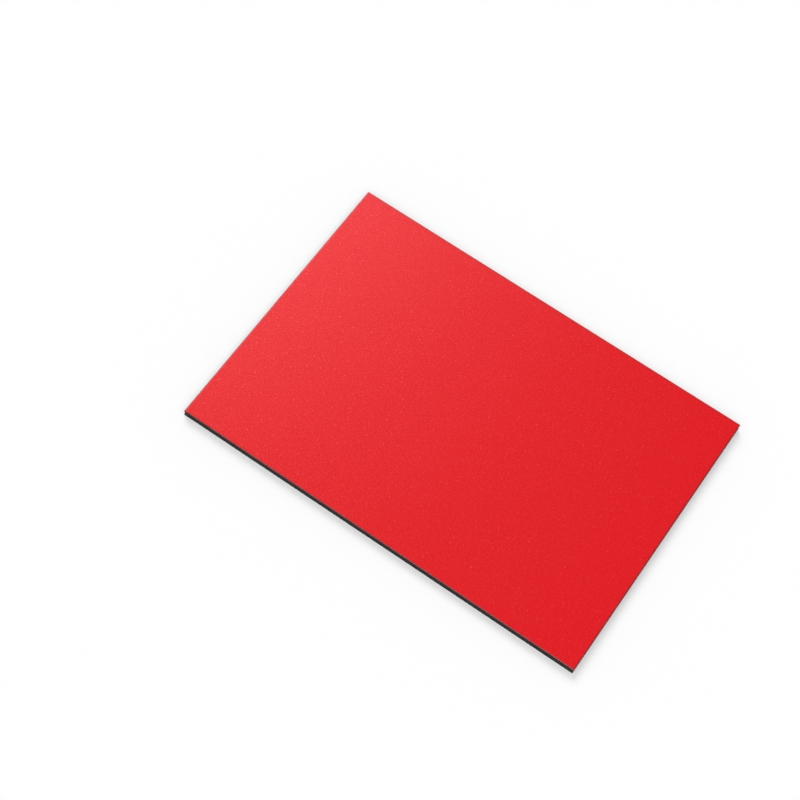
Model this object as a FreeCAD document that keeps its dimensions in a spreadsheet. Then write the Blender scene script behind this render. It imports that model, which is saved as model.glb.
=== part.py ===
# Aluminium composite panel: a cut sample sheet that lies on its back skin, coated face up.
# Three sheets are bonded face to face: an aluminium back skin, a polyethylene core and an
# aluminium face skin.
# Units are millimetres. The origin is the centre of the underside, +X runs along the length,
# +Y along the width and +Z out of the coated face.
import FreeCAD, Part
import enum
import os
import Sketcher

OUTPUT_FOLDER = "parts"

# Driving dimensions: alias, value in millimetres, what it measures
DRIVING_DIMENSIONS = [
    ("panel_length", 200.0, "long side, over the skins"),
    ("panel_width", 140.0, "short side, over the skins"),
    ("skin_thickness", 0.5, "each aluminium skin"),
    ("core_thickness", 3.0, "polyethylene core"),
    ("core_setback", 0.1, "how far the cut core has drawn back inside the skins' edges"),
    ("lip_radius", 0.3, "rounded lip that the shear draws along the face skin's upper edge"),
    ("arris_chamfer", 0.1, "deburred lower edge of the back skin"),
]

# Side of the square that each outline starts as, before its sizes are bound
DRAFT_SIDE = 2.0
# Edges whose ends differ in height by less than this are level
LEVEL_TOLERANCE = 1e-6
# A sketch's own origin, as its constraints number it
SKETCH_ORIGIN = -1


class LineEnd(enum.IntEnum):
    """How a sketch constraint names a line's ends."""

    START = 1
    END = 2


def make_size_sheet(document):
    """Writes the driving dimensions into a spreadsheet, one named cell each."""
    sheet = document.addObject("Spreadsheet::Sheet", "sizes")
    for row, (alias, value, meaning) in enumerate(DRIVING_DIMENSIONS, start=1):
        sheet.set(f"A{row}", alias)
        sheet.set(f"B{row}", str(value))
        sheet.set(f"C{row}", meaning)
        sheet.setAlias(f"B{row}", alias)
    document.recompute()


def base_plane(body):
    """The body's own XY plane."""
    return next(plane for plane in body.Origin.OriginFeatures if plane.Role == "XY_Plane")


def centred_rectangle(body, name, length_expression, width_expression):
    """A rectangle on the body's XY plane, centred on its origin, with both sides bound to sizes."""
    sketch = body.newObject("Sketcher::SketchObject", name)
    sketch.AttachmentSupport = [(base_plane(body), "")]
    sketch.MapMode = "FlatFace"
    reach = DRAFT_SIDE / 2
    corners = [
        FreeCAD.Vector(-reach, -reach, 0),
        FreeCAD.Vector(reach, -reach, 0),
        FreeCAD.Vector(reach, reach, 0),
        FreeCAD.Vector(-reach, reach, 0),
    ]
    for start, end in zip(corners, corners[1:] + corners[:1]):
        sketch.addGeometry(Part.LineSegment(start, end), False)
    front, right, back, left = range(len(corners))
    for side, following in ((front, right), (right, back), (back, left), (left, front)):
        sketch.addConstraint(Sketcher.Constraint("Coincident", side, LineEnd.END, following, LineEnd.START))
    for side in (front, back):
        sketch.addConstraint(Sketcher.Constraint("Horizontal", side))
    for side in (right, left):
        sketch.addConstraint(Sketcher.Constraint("Vertical", side))
    sketch.addConstraint(
        Sketcher.Constraint(
            "Symmetric", front, LineEnd.START, back, LineEnd.START, SKETCH_ORIGIN, LineEnd.START
        )
    )
    length = sketch.addConstraint(
        Sketcher.Constraint("DistanceX", front, LineEnd.START, front, LineEnd.END, DRAFT_SIDE)
    )
    width = sketch.addConstraint(
        Sketcher.Constraint("DistanceY", right, LineEnd.START, right, LineEnd.END, DRAFT_SIDE)
    )
    sketch.setExpression(f"Constraints[{length}]", length_expression)
    sketch.setExpression(f"Constraints[{width}]", width_expression)
    return sketch


def sheet_body(document, label, inset_expression, thickness_expression, height_expression):
    """One flat sheet of the laminate: a padded rectangle, lifted to its place in the stack."""
    body = document.addObject("PartDesign::Body", label)
    body.Label = label
    pad = body.newObject("PartDesign::Pad", f"{label}_sheet")
    pad.Profile = centred_rectangle(
        body,
        f"{label}_outline",
        f"sizes.panel_length - 2 * ({inset_expression})",
        f"sizes.panel_width - 2 * ({inset_expression})",
    )
    pad.setExpression("Length", thickness_expression)
    body.Tip = pad
    body.setExpression("Placement.Base.z", height_expression)
    document.recompute()
    return body


def level_edges(shape, height):
    """Names of the shape's edges that lie level at one height."""
    return [
        f"Edge{number}"
        for number, edge in enumerate(shape.Edges, start=1)
        if abs(edge.BoundBox.ZMin - height) < LEVEL_TOLERANCE
        and abs(edge.BoundBox.ZMax - height) < LEVEL_TOLERANCE
    ]


def make_back_skin(document):
    """The lower skin: the panel rests on it, and the arris round its underside is deburred."""
    body = sheet_body(document, "back_skin", "0", "sizes.skin_thickness", "0")
    sheet = body.Tip
    arris = body.newObject("PartDesign::Chamfer", "back_skin_arris")
    arris.Base = (sheet, level_edges(sheet.Shape, sheet.Shape.BoundBox.ZMin))
    arris.setExpression("Size", "sizes.arris_chamfer")
    body.Tip = arris
    return body


def make_core(document):
    """The polyethylene core: bonded to both skins, with its cut edge drawn back inside theirs."""
    return sheet_body(document, "core", "sizes.core_setback", "sizes.core_thickness", "sizes.skin_thickness")


def make_face_skin(document):
    """The coated upper skin: the shear draws its upper edge down into a rounded lip."""
    body = sheet_body(
        document, "face_skin", "0", "sizes.skin_thickness", "sizes.skin_thickness + sizes.core_thickness"
    )
    sheet = body.Tip
    lip = body.newObject("PartDesign::Fillet", "face_skin_lip")
    lip.Base = (sheet, level_edges(sheet.Shape, sheet.Shape.BoundBox.ZMax))
    lip.setExpression("Radius", "sizes.lip_radius")
    body.Tip = lip
    return body


def check_document(document):
    """Stops if any object of the document failed to compute."""
    for item in document.Objects:
        if {"Invalid", "Error"} & set(item.State):
            raise RuntimeError(f"{item.Label} failed: {item.State}")


def check_shape(body):
    """Stops unless the body is one valid solid."""
    shape = body.Shape
    if shape.isNull() or not shape.isValid() or len(shape.Solids) != 1:
        raise RuntimeError(f"{body.Label} isn't one valid solid")


def main():
    """Builds the three sheets, checks them and writes each to its own file."""
    document = FreeCAD.newDocument("aluminium_composite_panel")
    make_size_sheet(document)
    bodies = [make_back_skin(document), make_core(document), make_face_skin(document)]
    document.recompute()
    check_document(document)
    for body in bodies:
        check_shape(body)
    os.makedirs(OUTPUT_FOLDER, exist_ok=True)
    for body in bodies:
        body.Shape.exportStep(os.path.join(OUTPUT_FOLDER, f"{body.Label}.step"))
        box = body.Shape.BoundBox
        print(
            f"{body.Label}: {box.XLength:.2f} x {box.YLength:.2f} x {box.ZLength:.2f} mm,"
            f" from z {box.ZMin:.2f}, {body.Shape.Volume:.1f} mm3"
        )


main()
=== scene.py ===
"""Dresses an aluminium composite panel and shows it on a pale studio floor.

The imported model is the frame: three sheets that lie on each other, with the origin at the
centre of the underside, X along the length and Z out of the coated face. Each sheet is made
again here with the fine relief of its sheared edge, and gets its finish. Units are metres.
"""
import logging
import math
from dataclasses import dataclass
from enum import Enum
from typing import Any, Mapping, Sequence, Union

import bpy
from mathutils import Matrix, Vector


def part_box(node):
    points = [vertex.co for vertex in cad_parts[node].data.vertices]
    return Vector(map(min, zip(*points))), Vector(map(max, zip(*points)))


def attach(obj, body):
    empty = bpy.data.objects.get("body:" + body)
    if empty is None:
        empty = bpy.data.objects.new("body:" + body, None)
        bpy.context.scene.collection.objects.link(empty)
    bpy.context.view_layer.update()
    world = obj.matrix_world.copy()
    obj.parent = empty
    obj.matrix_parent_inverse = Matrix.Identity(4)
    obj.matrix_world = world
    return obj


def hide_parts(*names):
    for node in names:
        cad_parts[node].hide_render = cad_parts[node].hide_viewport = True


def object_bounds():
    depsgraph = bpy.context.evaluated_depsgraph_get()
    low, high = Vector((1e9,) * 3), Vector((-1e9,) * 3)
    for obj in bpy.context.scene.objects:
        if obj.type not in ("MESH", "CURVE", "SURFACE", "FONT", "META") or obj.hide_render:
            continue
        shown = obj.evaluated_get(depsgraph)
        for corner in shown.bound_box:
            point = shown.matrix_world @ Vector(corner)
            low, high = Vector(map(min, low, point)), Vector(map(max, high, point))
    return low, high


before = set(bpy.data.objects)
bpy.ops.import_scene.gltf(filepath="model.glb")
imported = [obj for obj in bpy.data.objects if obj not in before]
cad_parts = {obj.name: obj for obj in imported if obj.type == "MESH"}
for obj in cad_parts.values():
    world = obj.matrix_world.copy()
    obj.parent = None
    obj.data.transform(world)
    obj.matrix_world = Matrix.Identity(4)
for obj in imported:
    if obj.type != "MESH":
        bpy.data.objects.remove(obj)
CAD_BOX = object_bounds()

LOG = logging.getLogger("panel")
MILLIMETRE = 0.001
QUARTER_TURN = math.pi / 2
ROOT_BODY = "root"

NOISE_MEAN = 0.5

Colour = tuple[float, float, float]
Factors = tuple[float, float, float]
Span = tuple[float, float]
Number = Union["Wire", float]


class Layer(Enum):
    """The sheets of the laminate, by the name of their node in the frame."""

    FACE = "face_skin"
    CORE = "core"
    BACK = "back_skin"


class Wire:
    """An output socket that can be used in sums, so that node maths reads as Python."""

    def __init__(self, nodes: "Nodes", socket: bpy.types.NodeSocket | None) -> None:
        """Keeps the socket and the nodes that it belongs to.

        Args:
            nodes: Where further nodes are added.
            socket: The output socket, or None for a node that has no output.
        """
        self.nodes = nodes
        self.socket = socket

    def __add__(self, other: Number) -> "Wire":
        """The sum."""
        return self.nodes.maths("ADD", self, other)

    def __radd__(self, other: Number) -> "Wire":
        """The sum, with a number on the left."""
        return self.nodes.maths("ADD", other, self)

    def __sub__(self, other: Number) -> "Wire":
        """The difference."""
        return self.nodes.maths("SUBTRACT", self, other)

    def __rsub__(self, other: Number) -> "Wire":
        """The difference from a number on the left."""
        return self.nodes.maths("SUBTRACT", other, self)

    def __mul__(self, other: Number) -> "Wire":
        """The product."""
        return self.nodes.maths("MULTIPLY", self, other)

    def __rmul__(self, other: Number) -> "Wire":
        """The product, with a number on the left."""
        return self.nodes.maths("MULTIPLY", other, self)

    def __truediv__(self, other: Number) -> "Wire":
        """The quotient."""
        return self.nodes.maths("DIVIDE", self, other)

    def __rtruediv__(self, other: Number) -> "Wire":
        """The quotient, with a number on the left."""
        return self.nodes.maths("DIVIDE", other, self)

    def __pow__(self, other: Number) -> "Wire":
        """The power."""
        return self.nodes.maths("POWER", self, other)

    def __abs__(self) -> "Wire":
        """The value without its sign."""
        return self.nodes.maths("ABSOLUTE", self)

    def within(self, low: float, high: float) -> "Wire":
        """The value kept between two limits.

        Args:
            low: The lower limit.
            high: The upper limit.

        Returns:
            The limited value.
        """
        return self.nodes.maths("MINIMUM", self.nodes.maths("MAXIMUM", self, low), high)

    def ramp(self, start: float, end: float) -> "Wire":
        """A smooth step.

        Args:
            start: Where the step is 0. It may be above end.
            end: Where the step is 1.

        Returns:
            A value from 0 to 1.
        """
        settings = {"interpolation_type": "SMOOTHSTEP"}
        sockets = {"Value": self, "From Min": start, "From Max": end}
        return self.nodes.add("ShaderNodeMapRange", settings, sockets, "Result")


class Nodes:
    """A node tree that is written by one method."""

    def __init__(self, tree: bpy.types.NodeTree) -> None:
        """Keeps the tree, emptied.

        Args:
            tree: A shader, world or geometry tree.
        """
        self.tree = tree
        tree.nodes.clear()

    def add(
        self,
        kind: str,
        settings: Mapping[str, Any] | None = None,
        sockets: Mapping[Union[str, int], Any] | None = None,
        output: Union[str, int] = 0,
    ) -> Wire:
        """Adds a node, sets it up and links it.

        Args:
            kind: The node's type.
            settings: Its properties, which are set first.
            sockets: Its inputs by name, identifier or number, each a value, a wire or a list of wires.
            output: The output that is wanted, by name, identifier or number.

        Returns:
            That output, or the node's first one.
        """
        node = self.tree.nodes.new(kind)
        for name, value in (settings or {}).items():
            setattr(node, name, value)
        for name, value in (sockets or {}).items():
            socket = self.find(node.inputs, name)
            for item in value if isinstance(value, list) else [value]:
                if isinstance(item, Wire):
                    self.tree.links.new(item.socket, socket)
                else:
                    socket.default_value = item
        return Wire(self, self.find(node.outputs, output) if node.outputs else None)

    def maths(self, operation: str, *values: Number) -> Wire:
        """Adds a Math node.

        Args:
            operation: The node's operation.
            values: Its inputs, in order.

        Returns:
            The node's result.
        """
        return self.add("ShaderNodeMath", {"operation": operation}, dict(enumerate(values)))

    @staticmethod
    def find(sockets: Any, name: Union[str, int]) -> bpy.types.NodeSocket:
        """Finds a socket.

        Args:
            sockets: A node's inputs or outputs.
            name: The socket's number, identifier or name.

        Returns:
            The socket.
        """
        if isinstance(name, int):
            return sockets[name]
        named = [s for s in sockets if s.identifier == name] or [s for s in sockets if s.name == name]
        return named[0]

    def vector(self, x: Number, y: Number, z: Number) -> Wire:
        """Joins three numbers into a vector.

        Args:
            x: The first part.
            y: The second part.
            z: The third part.

        Returns:
            The vector.
        """
        return self.add("ShaderNodeCombineXYZ", None, {"X": x, "Y": y, "Z": z})

    def part(self, vector: Wire, axis: str) -> Wire:
        """Takes one part of a vector.

        Args:
            vector: The vector.
            axis: X, Y or Z.

        Returns:
            That part.
        """
        return self.add("ShaderNodeSeparateXYZ", None, {"Vector": vector}, axis)

    def vector_maths(self, operation: str, first: Any, second: Any) -> Wire:
        """Adds a Vector Math node.

        Args:
            operation: The node's operation.
            first: Its first vector.
            second: Its second vector.

        Returns:
            The resulting vector.
        """
        return self.add("ShaderNodeVectorMath", {"operation": operation}, {0: first, 1: second}, "Vector")

    def mix_colour(self, share: Number, first: Any, second: Any) -> Wire:
        """Mixes two colours.

        Args:
            share: How much of the second colour there is, from 0 to 1.
            first: A colour or a wire.
            second: A colour or a wire.

        Returns:
            The mixed colour.
        """
        opaque = [c if isinstance(c, Wire) else (*c, 1.0) for c in (first, second)]
        return self.add(
            "ShaderNodeMix",
            {"data_type": "RGBA"},
            {"Factor_Float": share, "A_Color": opaque[0], "B_Color": opaque[1]},
            "Result_Color",
        )

    def mix_shader(self, share: Number, first: Wire, second: Wire) -> Wire:
        """Mixes two shaders.

        Args:
            share: How much of the second shader there is, from 0 to 1.
            first: A shader.
            second: A shader.

        Returns:
            The mixed shader.
        """
        return self.add("ShaderNodeMixShader", None, {0: share, 1: first, 2: second})

    def noise(self, where: Wire, feature: Number, detail: float, seed: Number) -> Wire:
        """Adds a noise texture.

        Args:
            where: The place at which it is read, in metres.
            feature: The size of its features, in metres.
            detail: How many finer layers it has.
            seed: Which pattern it is.

        Returns:
            The noise, from 0 to 1.
        """
        return self.add(
            "ShaderNodeTexNoise",
            {"noise_dimensions": "4D"},
            {"Vector": where, "Scale": 1.0 / feature, "Detail": detail, "W": seed},
        )

    def bump(self, strength: float, depth: float, height: Wire) -> Wire:
        """Adds a bump.

        Args:
            strength: How strongly it tilts the surface, from 0 to 1.
            depth: How deep it is, in metres.
            height: Its height as a share of the depth.

        Returns:
            The tilted normal.
        """
        return self.add("ShaderNodeBump", None, {"Strength": strength, "Distance": depth, "Height": height})

    def principled(self, sockets: Mapping[str, Any]) -> Wire:
        """Adds a principled shader with these inputs."""
        return self.add("ShaderNodeBsdfPrincipled", None, sockets)


def add_to_scene(made: bpy.types.Object) -> None:
    """Adds a new object to the scene."""
    bpy.context.scene.collection.objects.link(made)


@dataclass(frozen=True)
class ShearedEdge:
    """The sizes of one sheet's sheared edge."""

    setback: float = 0.0
    lip_width: float = 0.0
    lip_drop: float = 0.0
    lip_unevenness: float = 0.0
    arris: float = 0.0
    chatter_depth: float = 0.0
    chatter_pitch: float = MILLIMETRE
    chatter_stretch: float = 0.1
    cut_rows: int = 4
    lip_rows: int = 1
    seed: float = 0.0


class SheetTree:
    """The geometry tree that makes a flat sheet with a sheared edge all round.

    The edge is a band of rows and columns. A column is a place on the rectangle's outline, counted
    from 0 to 4 round its corners. A row climbs the cut face, rolls over the lip and steps onto the
    flat. The flats above and below close the band.
    """

    SIDES = 4
    X_SIDE_MIDDLE = 1.5
    Y_SIDE_MIDDLE = 2.5
    LIP_WAVE = 9 * MILLIMETRE
    LIP_WAVE_DETAIL = 1.0
    BITE_DETAIL = 3.0
    BITE_SEED_STEP = 7.0
    BITE_RAMP: Span = (0.25, 0.75)
    FLAT_RING = 0.5 * MILLIMETRE
    MERGE_DISTANCE = 1e-6
    SHARP_ANGLE = math.radians(32)

    def __init__(self, name: str) -> None:
        """Builds the tree.

        Args:
            name: The tree's name.
        """
        self.tree = bpy.data.node_groups.new(name, "GeometryNodeTree")
        self.nodes = Nodes(self.tree)
        self.identifiers: dict[str, str] = {}
        for label, kind in self.inputs().items():
            socket = self.tree.interface.new_socket(name=label, in_out="INPUT", socket_type=kind)
            self.identifiers[label] = socket.identifier
        self.tree.interface.new_socket(name="Geometry", in_out="OUTPUT", socket_type="NodeSocketGeometry")
        self.group = self.nodes.add("NodeGroupInput").socket.node
        self.finish_tree()

    @staticmethod
    def inputs() -> dict[str, str]:
        """The tree's inputs.

        Returns:
            Each input's socket type by its name.
        """
        lengths = (
            "Half Length",
            "Half Width",
            "Bottom",
            "Thickness",
            "Setback",
            "Lip Width",
            "Lip Drop",
            "Lip Unevenness",
            "Arris",
            "Chatter Depth",
            "Chatter Pitch",
            "Chatter Stretch",
            "Seed",
        )
        counts = ("Columns", "Cut Rows", "Lip Rows")
        kinds = {name: "NodeSocketFloat" for name in lengths}
        kinds.update({name: "NodeSocketInt" for name in counts})
        kinds["Finish"] = "NodeSocketMaterial"
        return kinds

    def given(self, label: str) -> Wire:
        """One of the tree's inputs, by its name."""
        return Wire(self.nodes, Nodes.find(self.group.outputs, label))

    def outline_share(self, side: Wire, middle: float) -> Wire:
        """How far across the rectangle a place on its outline is.

        Args:
            side: The place, from 0 to 4 round the corners.
            middle: The middle of the side on which the share is full.

        Returns:
            From -1 to 1.
        """
        return (2 * (1 - abs(side - middle))).within(-1.0, 1.0)

    def edge_point(self, side: Wire, row: Number) -> Wire:
        """A point of the edge.

        Args:
            side: Its place on the outline, from 0 to 4 round the corners.
            row: Its row, from 0 at the bottom.

        Returns:
            The point's position.
        """
        nodes, given = self.nodes, self.given
        x_share = self.outline_share(side, self.X_SIDE_MIDDLE)
        y_share = self.outline_share(side, self.Y_SIDE_MIDDLE)
        cut_rows, lip_rows = given("Cut Rows"), given("Lip Rows")
        above_cut = row - cut_rows
        cut_share = (row / cut_rows).within(0.0, 1.0)
        lip_share = (above_cut / lip_rows).within(0.0, 1.0)
        flat_share = (above_cut - lip_rows).within(0.0, 1.0)
        turn = lip_share * QUARTER_TURN

        outline = nodes.vector(x_share * given("Half Length"), y_share * given("Half Width"), 0.0)
        wave = nodes.noise(outline, self.LIP_WAVE, self.LIP_WAVE_DETAIL, given("Seed"))
        drop = given("Lip Drop") * (1 - wave * given("Lip Unevenness"))
        rise = (given("Thickness") - drop) * cut_share + drop * nodes.maths("SINE", turn)
        lifted = nodes.vector(0.0, 0.0, rise * given("Chatter Stretch"))
        bite_place = nodes.vector_maths("ADD", outline, lifted)
        bite_seed = given("Seed") + self.BITE_SEED_STEP
        bite = nodes.noise(bite_place, given("Chatter Pitch"), self.BITE_DETAIL, bite_seed)
        chatter = bite.ramp(*self.BITE_RAMP) * given("Chatter Depth") * (1 - lip_share)
        roll = given("Lip Width") * (1 - nodes.maths("COSINE", turn))
        arris = nodes.maths("MAXIMUM", given("Arris") - rise, 0.0)
        inset = given("Setback") + roll + arris + chatter + flat_share * self.FLAT_RING
        return nodes.vector(
            x_share * (given("Half Length") - inset),
            y_share * (given("Half Width") - inset),
            given("Bottom") + rise,
        )

    def cap(self, row: Number, facing_down: bool) -> Wire:
        """The flat that closes the band at one row.

        Args:
            row: The row that it joins.
            facing_down: Whether it is the underside.

        Returns:
            Its geometry.
        """
        nodes = self.nodes
        columns = self.given("Columns")
        disc = nodes.add("GeometryNodeMeshCircle", {"fill_type": "NGON"}, {"Vertices": columns})
        side = nodes.add("GeometryNodeInputIndex") / columns * self.SIDES
        flat = nodes.add(
            "GeometryNodeSetPosition", None, {"Geometry": disc, "Position": self.edge_point(side, row)}
        )
        return nodes.add("GeometryNodeFlipFaces", None, {"Mesh": flat}) if facing_down else flat

    def band(self, rows: Wire) -> Wire:
        """The band of the edge, from the underside to the flat of the top.

        Args:
            rows: How many rows it has.

        Returns:
            Its geometry.
        """
        nodes = self.nodes
        columns = self.given("Columns")
        stride = columns + 1
        grid = nodes.add(
            "GeometryNodeMeshGrid",
            None,
            {"Size X": 1.0, "Size Y": 1.0, "Vertices X": rows + 1, "Vertices Y": stride},
        )
        index = nodes.add("GeometryNodeInputIndex")
        # Half a step more keeps the first column of each row clear of rounding.
        row = nodes.maths("FLOOR", (index + 0.5) / stride)
        side = (index - row * stride) / columns * self.SIDES
        bent = nodes.add(
            "GeometryNodeSetPosition", None, {"Geometry": grid, "Position": self.edge_point(side, row)}
        )
        return nodes.add("GeometryNodeFlipFaces", None, {"Mesh": bent})

    def finish_tree(self) -> None:
        """Joins the band and its two flats into one closed, shaded sheet."""
        nodes = self.nodes
        rows = self.given("Cut Rows") + self.given("Lip Rows") + 1
        parts = [self.band(rows), self.cap(rows, facing_down=False), self.cap(0.0, facing_down=True)]
        joined = nodes.add("GeometryNodeJoinGeometry", None, {"Geometry": parts})
        merged = nodes.add(
            "GeometryNodeMergeByDistance", None, {"Geometry": joined, "Distance": self.MERGE_DISTANCE}
        )
        smooth = nodes.add(
            "GeometryNodeSetShadeSmooth", {"domain": "FACE"}, {"Geometry": merged, "Shade Smooth": True}
        )
        angle = nodes.add("GeometryNodeInputMeshEdgeAngle", None, None, "Unsigned Angle")
        creased = nodes.add(
            "GeometryNodeSetShadeSmooth",
            {"domain": "EDGE"},
            {
                "Geometry": smooth,
                "Selection": nodes.maths("GREATER_THAN", angle, self.SHARP_ANGLE),
                "Shade Smooth": False,
            },
        )
        real = nodes.add("GeometryNodeRealizeInstances", None, {"Geometry": creased})
        dressed = nodes.add(
            "GeometryNodeSetMaterial", None, {"Geometry": real, "Material": self.given("Finish")}
        )
        nodes.add("NodeGroupOutput", None, {0: dressed})

    def mesh(self, name: str, values: Mapping[str, Any]) -> bpy.types.Object:
        """Runs the tree once and keeps the result as a plain mesh.

        Args:
            name: The piece's name.
            values: The tree's inputs by name.

        Returns:
            The piece, at the origin.
        """
        carrier = bpy.data.objects.new(f"{name}_carrier", bpy.data.meshes.new(f"{name}_carrier"))
        add_to_scene(carrier)
        modifier = carrier.modifiers.new("sheet", "NODES")
        modifier.node_group = self.tree
        for label, value in values.items():
            modifier[self.identifiers[label]] = value
        evaluated = carrier.evaluated_get(bpy.context.evaluated_depsgraph_get())
        made = bpy.data.meshes.new_from_object(evaluated)
        bpy.data.objects.remove(carrier)
        piece = bpy.data.objects.new(name, made)
        made.name = name
        add_to_scene(piece)
        return piece


def new_material(name: str) -> tuple[bpy.types.Material, Nodes]:
    """Makes an empty material.

    Args:
        name: Its name.

    Returns:
        The material, and its nodes to fill.
    """
    material = bpy.data.materials.new(name)
    material.use_nodes = True
    return material, Nodes(material.node_tree)


def place(nodes: Nodes) -> Wire:
    """The place on the piece, in metres, in the panel's own frame."""
    return nodes.add("ShaderNodeTexCoord", None, None, "Object")


@dataclass(frozen=True)
class Noise:
    """A noise over a piece, drawn out along each axis whose factor is below 1."""

    feature: float
    detail: float
    seed: float = 0.0
    factors: Factors = (1.0, 1.0, 1.0)

    def read(self, nodes: Nodes) -> Wire:
        """Adds the noise to a material.

        Args:
            nodes: The material's nodes.

        Returns:
            The noise, from 0 to 1.
        """
        drawn_out = nodes.vector_maths("MULTIPLY", place(nodes), self.factors)
        return nodes.noise(drawn_out, self.feature, self.detail, self.seed)


@dataclass(frozen=True)
class CoatedFaceFinish:
    """Red coil coating with metal flakes over aluminium, bare where the shear cut through it."""

    name: str = "coated_face"
    deep_red: Colour = (0.772, 0.0044, 0.0098)
    light_red: Colour = (0.890, 0.0048, 0.0108)
    spark_red: Colour = (0.930, 0.0300, 0.0360)
    # Darker red painted on the rolled-over lip.
    rim_red: Colour = (0.500, 0.0025, 0.0060)
    # Near-black painted over the cut face below the bare line.
    dark_band_colour: Colour = (0.011, 0.010, 0.0105)
    bare_metal: Colour = (0.42, 0.41, 0.42)
    scored_metal: Colour = (0.26, 0.25, 0.26)
    grain_cell: float = 0.28 * MILLIMETRE
    grain_share: float = 0.15
    fleck_cell: float = 0.65 * MILLIMETRE
    fleck_reach: float = 0.36
    fleck_rarity: float = 1.0
    fleck_metallic: float = 0.13
    spark_cell: float = 2.7 * MILLIMETRE
    spark_reach: float = 0.11
    spark_rarity: float = 5.0
    full_part: float = 0.5
    rim_start: float = 0.001 * MILLIMETRE
    rim_end: float = 0.022 * MILLIMETRE
    metallic: float = 0.06
    roughness: float = 0.29
    gloss: float = 0.30
    fleck_coat: float = 0.39
    spark_coat: float = 0.60
    coat_ior: float = 2.0
    coat_roughness: float = 0.29
    metal_roughness: float = 0.42
    dark_band_roughness: float = 0.55
    dark_band_gloss: float = 0.12
    paint_edge: float = 0.443 * MILLIMETRE
    dark_band_edge: float = 0.427 * MILLIMETRE
    edge_softness: float = 0.02 * MILLIMETRE
    fray: Noise = Noise(0.8 * MILLIMETRE, detail=3.0, factors=(1.0, 1.0, 0.0))
    fray_height: float = 0.04 * MILLIMETRE
    scores: Noise = Noise(0.18 * MILLIMETRE, detail=3.0, factors=(1.0, 1.0, 0.1))
    score_ramp: Span = (0.35, 0.7)

    def cells(self, nodes: Nodes, cell: float, output: str) -> Wire:
        """A pattern of cells over the face.

        Args:
            nodes: The material's nodes.
            cell: The size of a cell, in metres.
            output: Color, random for each cell, or Distance, from the cell's centre in cells.

        Returns:
            That output.
        """
        sockets = {"Vector": place(nodes), "Scale": 1 / cell}
        return nodes.add("ShaderNodeTexVoronoi", {"voronoi_dimensions": "2D"}, sockets, output)

    def points(self, nodes: Nodes, cell: float, reach: float, rarity: float) -> Wire:
        """Round flakes that lie scattered over the face, each as bright as it happens to be.

        Args:
            nodes: The material's nodes.
            cell: The space that each flake has, in metres.
            reach: A flake's radius, in cells.
            rarity: How few of them are bright.

        Returns:
            The brightness, from 0 to 1.
        """
        chance = nodes.part(self.cells(nodes, cell, "Color"), "X")
        distance = self.cells(nodes, cell, "Distance")
        return distance.ramp(reach, self.full_part * reach) * chance**rarity

    def paint(self, nodes: Nodes, rim: Wire) -> Wire:
        """The red coating.

        Args:
            nodes: The material's nodes.
            rim: 1 on the rolled-over lip, where the red is painted darker.

        Returns:
            The shader.
        """
        flecks = self.points(nodes, self.fleck_cell, self.fleck_reach, self.fleck_rarity)
        sparks = self.points(nodes, self.spark_cell, self.spark_reach, self.spark_rarity)
        grain = nodes.part(self.cells(nodes, self.grain_cell, "Color"), "X") * self.grain_share
        red = nodes.mix_colour((flecks + grain).within(0.0, 1.0), self.deep_red, self.light_red)
        red = nodes.mix_colour(sparks, red, self.spark_red)
        return nodes.principled(
            {
                "Base Color": nodes.mix_colour(rim, red, self.rim_red),
                "Metallic": self.metallic + flecks * self.fleck_metallic,
                "Roughness": self.roughness,
                "Coat Weight": (flecks * self.fleck_coat + sparks * self.spark_coat).within(0.0, 1.0),
                "Coat Roughness": self.coat_roughness,
                "Coat IOR": self.coat_ior,
                "Specular IOR Level": self.gloss,
            }
        )

    def metal(self, nodes: Nodes) -> Wire:
        """The skin's aluminium, scored by the blade.

        Args:
            nodes: The material's nodes.

        Returns:
            The shader.
        """
        scores = self.scores.read(nodes).ramp(*self.score_ramp)
        colour = nodes.mix_colour(scores, self.scored_metal, self.bare_metal)
        return nodes.principled({"Base Color": colour, "Metallic": 1.0, "Roughness": self.metal_roughness})

    def dark_band(self, nodes: Nodes) -> Wire:
        """The near-black band painted over the lower part of the cut face.

        Args:
            nodes: The material's nodes.

        Returns:
            The shader.
        """
        return nodes.principled(
            {
                "Base Color": (*self.dark_band_colour, 1.0),
                "Roughness": self.dark_band_roughness,
                "Specular IOR Level": self.dark_band_gloss,
            }
        )

    def below(self, nodes: Nodes, height: Wire, edge: float) -> Wire:
        """The part of the cut face that lies below a frayed line.

        Args:
            nodes: The material's nodes.
            height: The height above the skin's underside, in metres.
            edge: The height of the line.

        Returns:
            A value from 0 above the line to 1 below it.
        """
        frayed = height - (self.fray.read(nodes) - NOISE_MEAN) * self.fray_height
        return frayed.ramp(edge + self.edge_softness, edge)

    def material(self, underside: float, top: float) -> bpy.types.Material:
        """Builds the material.

        Args:
            underside: The height of the skin's underside, in metres.
            top: The height of its coated face, in metres.

        Returns:
            The material.
        """
        material, nodes = new_material(self.name)
        height = nodes.part(place(nodes), "Z")
        bare = self.below(nodes, height - underside, self.paint_edge)
        # Below this line the cut face is painted near-black.
        in_dark_band = self.below(nodes, height - underside, self.dark_band_edge)
        # The red is painted darker where the lip rolls down from the flat.
        rim = (top - height).ramp(self.rim_start, self.rim_end)
        coated = nodes.mix_shader(bare, self.paint(nodes, rim), self.metal(nodes))
        surface = nodes.mix_shader(in_dark_band, coated, self.dark_band(nodes))
        nodes.add("ShaderNodeOutputMaterial", None, {"Surface": surface})
        return material


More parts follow.
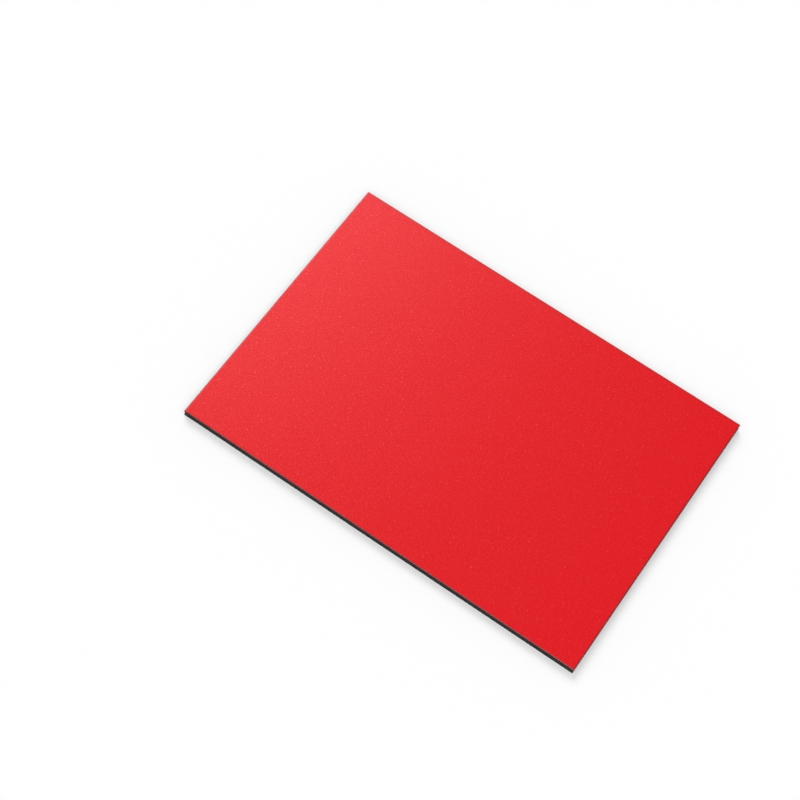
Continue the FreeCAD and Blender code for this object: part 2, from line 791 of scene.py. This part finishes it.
@dataclass(frozen=True)
class CoreFinish:
    """Black polyethylene, scored and a little whitened where the blade dragged through it."""

    name: str = "polyethylene_core"
    black: Colour = (0.012, 0.0102, 0.0110)
    scored: Colour = (0.036, 0.0315, 0.0335)
    warm_patch: Colour = (0.024, 0.0215, 0.0165)
    drawn: Noise = Noise(0.22 * MILLIMETRE, detail=4.0, seed=3.0, factors=(1.0, 1.0, 0.12))
    torn: Noise = Noise(0.5 * MILLIMETRE, detail=3.0, seed=5.0)
    patches: Noise = Noise(2.6 * MILLIMETRE, detail=2.0, seed=11.0, factors=(1.0, 1.0, 0.4))
    drawn_ramp: Span = (0.42, 0.75)
    torn_ramp: Span = (0.5, 0.8)
    warm_ramp: Span = (0.5, 0.7)
    pale_ramp: Span = (0.2, 0.6)
    drawn_share: float = 0.7
    torn_share: float = 0.5
    warm_share: float = 0.6
    bump_strength: float = 0.6
    bump_depth: float = 0.03 * MILLIMETRE
    bump_torn_share: float = 0.5
    roughness: float = 0.60
    roughness_swing: float = 0.4
    gloss: float = 0.12

    def material(self) -> bpy.types.Material:
        """Builds the material.

        Returns:
            The material.
        """
        material, nodes = new_material(self.name)
        drawn, torn, patches = self.drawn.read(nodes), self.torn.read(nodes), self.patches.read(nodes)
        scores = drawn.ramp(*self.drawn_ramp) * self.drawn_share
        tears = torn.ramp(*self.torn_ramp) * self.torn_share
        warmth = patches.ramp(*self.warm_ramp) * self.warm_share
        colour = nodes.mix_colour(warmth, self.black, self.warm_patch)
        pale = (scores + tears).within(0.0, 1.0) * patches.ramp(*self.pale_ramp)
        shader = nodes.principled(
            {
                "Base Color": nodes.mix_colour(pale, colour, self.scored),
                "Roughness": self.roughness + (drawn - NOISE_MEAN) * self.roughness_swing,
                "Normal": nodes.bump(
                    self.bump_strength, self.bump_depth, drawn + torn * self.bump_torn_share
                ),
                "Specular IOR Level": self.gloss,
            }
        )
        nodes.add("ShaderNodeOutputMaterial", None, {"Surface": shader})
        return material


@dataclass(frozen=True)
class BackFinish:
    """Rolled aluminium under a thin clear wash coat, with its cut edge painted near-black in patches."""

    name: str = "wash_coated_back"
    rolled: Colour = (0.56, 0.57, 0.58)
    rolled_dark: Colour = (0.48, 0.49, 0.50)
    # Near-black painted in patches over the cut edge.
    dark_band: Colour = (0.015, 0.0135, 0.0140)
    rolling: Noise = Noise(0.35 * MILLIMETRE, detail=3.0, seed=2.0, factors=(0.005, 1.0, 1.0))
    cloud: Noise = Noise(30 * MILLIMETRE, detail=3.0, seed=4.0)
    band_patches: Noise = Noise(0.5 * MILLIMETRE, detail=4.0, seed=6.0, factors=(1.0, 1.0, 0.15))
    rolling_ramp: Span = (0.3, 0.7)
    band_patches_ramp: Span = (0.68, 0.5)
    rolling_share: float = 0.6
    cloud_share: float = 0.4
    dark_band_start: float = 0.03 * MILLIMETRE
    dark_band_full: float = 0.06 * MILLIMETRE
    bump_strength: float = 0.25
    bump_depth: float = 0.005 * MILLIMETRE
    metallic: float = 0.8
    roughness: float = 0.38
    roughness_swing: float = 0.15
    dark_band_roughening: float = 0.2
    gloss: float = 0.25

    def material(self) -> bpy.types.Material:
        """Builds the material.

        Returns:
            The material.
        """
        material, nodes = new_material(self.name)
        rolling = self.rolling.read(nodes)
        lines = rolling.ramp(*self.rolling_ramp) * self.rolling_share
        clouds = self.cloud.read(nodes) * self.cloud_share
        metal = nodes.mix_colour(lines + clouds, self.rolled_dark, self.rolled)
        height = nodes.part(place(nodes), "Z")
        # The cut edge above the underside is painted near-black in patches.
        above = height.ramp(self.dark_band_start, self.dark_band_full)
        dark_band = above * self.band_patches.read(nodes).ramp(*self.band_patches_ramp)
        swing = (rolling - NOISE_MEAN) * self.roughness_swing
        shader = nodes.principled(
            {
                "Base Color": nodes.mix_colour(dark_band, metal, self.dark_band),
                "Metallic": self.metallic - dark_band * self.metallic,
                "Roughness": self.roughness + swing + dark_band * self.dark_band_roughening,
                "Normal": nodes.bump(self.bump_strength, self.bump_depth, rolling),
                "Specular IOR Level": self.gloss,
            }
        )
        nodes.add("ShaderNodeOutputMaterial", None, {"Surface": shader})
        return material


@dataclass
class LaminateSheet:
    """One sheet of the laminate: which layer it is, how its edge is cut and how it is finished."""

    layer: Layer
    piece_name: str
    slot: str
    edge: ShearedEdge
    finish: bpy.types.Material
    columns: int = 2400

    def build(self, tree: SheetTree) -> bpy.types.Object:
        """Makes the sheet in the space of its node.

        Args:
            tree: The tree that makes sheets.

        Returns:
            The piece, riding on the panel and standing for its node.
        """
        low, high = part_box(self.layer.value)
        outer_low, outer_high = CAD_BOX
        half = (outer_high - outer_low) / 2
        edge = self.edge
        piece = tree.mesh(
            self.piece_name,
            {
                "Half Length": half.x,
                "Half Width": half.y,
                "Bottom": low.z,
                "Thickness": high.z - low.z,
                "Setback": edge.setback,
                "Lip Width": edge.lip_width,
                "Lip Drop": edge.lip_drop,
                "Lip Unevenness": edge.lip_unevenness,
                "Arris": edge.arris,
                "Chatter Depth": edge.chatter_depth,
                "Chatter Pitch": edge.chatter_pitch,
                "Chatter Stretch": edge.chatter_stretch,
                "Seed": edge.seed,
                "Columns": self.columns,
                "Cut Rows": edge.cut_rows,
                "Lip Rows": edge.lip_rows,
                "Finish": self.finish,
            },
        )
        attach(piece, ROOT_BODY)
        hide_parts(self.layer.value)
        LOG.info("%s: %d faces, for node %s", piece.name, len(piece.data.polygons), self.layer.value)
        return piece


class CompositePanel:
    """The panel: a coated face skin, a polyethylene core and a back skin."""

    def __init__(self) -> None:
        """Settles each sheet's edge and finish."""
        face_low, face_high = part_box(Layer.FACE.value)
        core_setback = CAD_BOX[1].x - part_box(Layer.CORE.value)[1].x
        self.sheets = [
            LaminateSheet(
                layer=Layer.FACE,
                piece_name="coated_face_sheet",
                slot="coated_face",
                edge=ShearedEdge(
                    lip_width=0.70 * MILLIMETRE,
                    lip_drop=0.16 * MILLIMETRE,
                    lip_unevenness=0.25,
                    chatter_depth=0.02 * MILLIMETRE,
                    chatter_pitch=0.9 * MILLIMETRE,
                    lip_rows=8,
                    seed=1.0,
                ),
                finish=CoatedFaceFinish().material(face_low.z, face_high.z),
            ),
            LaminateSheet(
                layer=Layer.CORE,
                piece_name="core_sheet",
                slot="polyethylene_core",
                edge=ShearedEdge(
                    setback=core_setback,
                    chatter_depth=0.09 * MILLIMETRE,
                    chatter_pitch=1.1 * MILLIMETRE,
                    chatter_stretch=0.25,
                    cut_rows=12,
                    seed=2.0,
                ),
                finish=CoreFinish().material(),
            ),
            LaminateSheet(
                layer=Layer.BACK,
                piece_name="back_sheet",
                slot="wash_coated_back",
                edge=ShearedEdge(
                    arris=0.1 * MILLIMETRE,
                    chatter_depth=0.03 * MILLIMETRE,
                    chatter_pitch=0.9 * MILLIMETRE,
                    cut_rows=6,
                    seed=3.0,
                ),
                finish=BackFinish().material(),
            ),
        ]

    def build(self) -> list[bpy.types.Object]:
        """Makes every sheet.

        Returns:
            The pieces.
        """
        tree = SheetTree("sheared_sheet")
        return [sheet.build(tree) for sheet in self.sheets]


@dataclass(frozen=True)
class CameraView:
    """Where the camera stands: found from the panel's corners in the photograph."""

    azimuth: float = math.radians(-24.77)
    elevation: float = math.radians(63.0)
    roll: float = math.radians(10.63)
    distance: float = 0.8734
    aim: tuple[float, float, float] = (-0.0279, -0.0099, 0.0040)
    lens_mm: float = 90.0
    sensor_mm: float = 36.0
    clip_start: float = 0.01
    clip_end: float = 50.0

    def build(self) -> None:
        """Makes the camera and makes it the scene's."""
        data = bpy.data.cameras.new("photo_view")
        data.lens = self.lens_mm
        data.sensor_width = self.sensor_mm
        data.clip_start = self.clip_start
        data.clip_end = self.clip_end
        camera = bpy.data.objects.new("photo_view", data)
        add_to_scene(camera)
        turn = (
            Matrix.Rotation(-self.azimuth, 4, "Z")
            @ Matrix.Rotation(QUARTER_TURN - self.elevation, 4, "X")
            @ Matrix.Rotation(self.roll, 4, "Z")
        )
        back = turn.to_3x3() @ Vector((0.0, 0.0, self.distance))
        camera.matrix_world = Matrix.Translation(Vector(self.aim) + back) @ turn
        bpy.context.scene.camera = camera


@dataclass(frozen=True)
class StudioLight:
    """A soft light from far away, as strong all over the floor."""

    name: str
    left_of_back: float
    elevation: float
    spread: float
    level: float

    def build(self) -> None:
        """Makes the light, so that it gives a level white floor its share of full white."""
        data = bpy.data.lights.new(self.name, "SUN")
        data.angle = self.spread
        data.energy = self.level * math.pi / math.sin(self.elevation)
        level_reach = math.cos(self.elevation)
        towards = Vector(
            (
                -math.sin(self.left_of_back) * level_reach,
                math.cos(self.left_of_back) * level_reach,
                math.sin(self.elevation),
            )
        )
        lamp = bpy.data.objects.new(self.name, data)
        lamp.rotation_euler = towards.to_track_quat("Z", "Y").to_euler()
        add_to_scene(lamp)


class Studio:
    """A pale floor, two soft lights and a plain surround that is white level with the floor."""

    FLOOR_SIZE = 12.0
    FLOOR_SHADE = 0.78
    WHITE: Colour = (1.0, 1.0, 1.0)
    KEY = StudioLight(
        name="key_light",
        left_of_back=math.radians(46.2),
        elevation=math.radians(44.0),
        spread=math.radians(33.3),
        level=0.31,
    )
    FILL = StudioLight(
        name="fill_light",
        left_of_back=math.radians(205),
        elevation=math.radians(61),
        spread=math.radians(70),
        level=0.46,
    )
    CEILING_LEVEL = 0.174
    CEILING_START = 0.02
    CEILING_END = 0.45

    @staticmethod
    def seen(nodes: Nodes) -> Wire:
        """Tells the rays that see the floor from those that carry light from it.

        Args:
            nodes: The floor's nodes.

        Returns:
            1 for rays from the camera, from a gloss or through glass, and 0 for the others.
        """
        rays = [
            nodes.add("ShaderNodeLightPath", None, None, name)
            for name in ("Is Camera Ray", "Is Glossy Ray", "Is Transmission Ray")
        ]
        return (rays[0] + rays[1] + rays[2]).within(0.0, 1.0)

    def floor(self) -> None:
        """Makes the floor. What its own shade lacks of white is added only where it is seen."""
        half = self.FLOOR_SIZE / 2
        mesh = bpy.data.meshes.new("pale_floor")
        corners = [(-half, -half, 0.0), (half, -half, 0.0), (half, half, 0.0), (-half, half, 0.0)]
        mesh.from_pydata(corners, [], [(0, 1, 2, 3)])
        material, nodes = new_material("pale_floor")
        grey = (self.FLOOR_SHADE,) * 3
        paint = nodes.add("ShaderNodeBsdfDiffuse", None, {"Color": (*grey, 1.0)})
        lacking = self.seen(nodes) * (1 - self.FLOOR_SHADE)
        glow = nodes.add("ShaderNodeEmission", None, {"Strength": lacking})
        both = nodes.add("ShaderNodeAddShader", None, {0: paint, 1: glow})
        nodes.add("ShaderNodeOutputMaterial", None, {"Surface": both})
        material.cycles.emission_sampling = "NONE"
        mesh.materials.append(material)
        floor = bpy.data.objects.new("pale_floor", mesh)
        add_to_scene(floor)

    def surround(self) -> None:
        """Makes the world: white where it meets the floor and behind it, and a dimmer ceiling overhead."""
        world = bpy.data.worlds.new("studio")
        bpy.context.scene.world = world
        world.use_nodes = True
        nodes = Nodes(world.node_tree)
        upward = nodes.part(nodes.add("ShaderNodeTexCoord", None, None, "Generated"), "Z")
        camera_ray = nodes.add("ShaderNodeLightPath", None, None, "Is Camera Ray")
        ceiling = upward.ramp(self.CEILING_START, self.CEILING_END) * (1 - camera_ray)
        level = 1 - ceiling * (1 - self.CEILING_LEVEL)
        sky = nodes.add("ShaderNodeBackground", None, {"Color": (*self.WHITE, 1.0), "Strength": level})
        nodes.add("ShaderNodeOutputWorld", None, {"Surface": sky})

    def build(self) -> None:
        """Makes the whole studio and the camera."""
        self.floor()
        self.surround()
        self.KEY.build()
        self.FILL.build()
        CameraView().build()
        bpy.context.scene.view_settings.view_transform = "Standard"
        LOG.info("studio: floor, surround, two lights and camera")


def main() -> None:
    """Builds the panel and its studio."""
    logging.basicConfig(level=logging.INFO, format="%(name)s: %(message)s")
    pieces = CompositePanel().build()
    LOG.info("panel: %d pieces", len(pieces))
    Studio().build()


if __name__ == "__main__":
    main()
